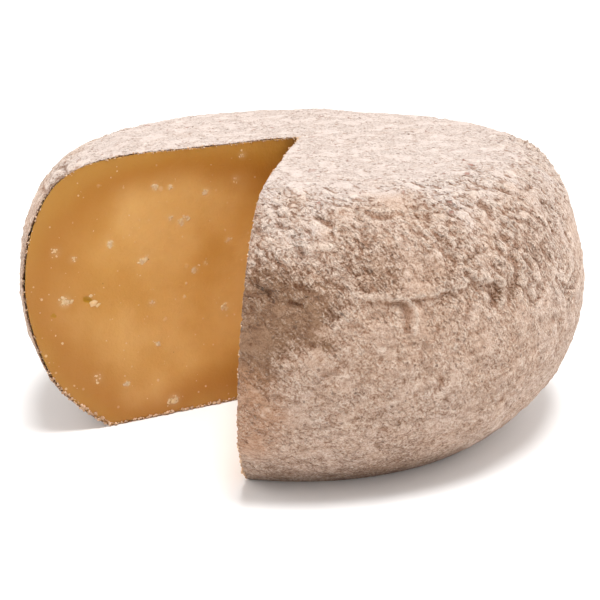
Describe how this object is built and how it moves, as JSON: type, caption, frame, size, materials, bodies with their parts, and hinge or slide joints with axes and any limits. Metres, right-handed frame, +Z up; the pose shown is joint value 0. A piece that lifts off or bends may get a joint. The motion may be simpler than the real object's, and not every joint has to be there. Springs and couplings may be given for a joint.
{
  "type": "cheese wheel",
  "caption": "Small aged cheese wheel with a rounded shoulder, a bulging side and a flat foot, and one wedge cut out of it from top to bottom.",
  "frame": {"origin": "on the surface that the wheel stands on, under the middle of its belly, which is also the middle of its outline seen from above", "axes": "+Z up along the wheel's axis; -Y is the front, where the missing wedge opens towards -Y and -X, from about 9 to 62 degrees left of -Y"},
  "size_m": [0.2204, 0.2202, 0.1064],
  "materials": {
    "rind": "dry, dusty and pitted natural rind",
    "paste": "cut amber paste with a faint waxy sheen"
  },
  "bodies": {
    "root": {"cheese_wheel": "rind"}
  },
  "joints": []
}
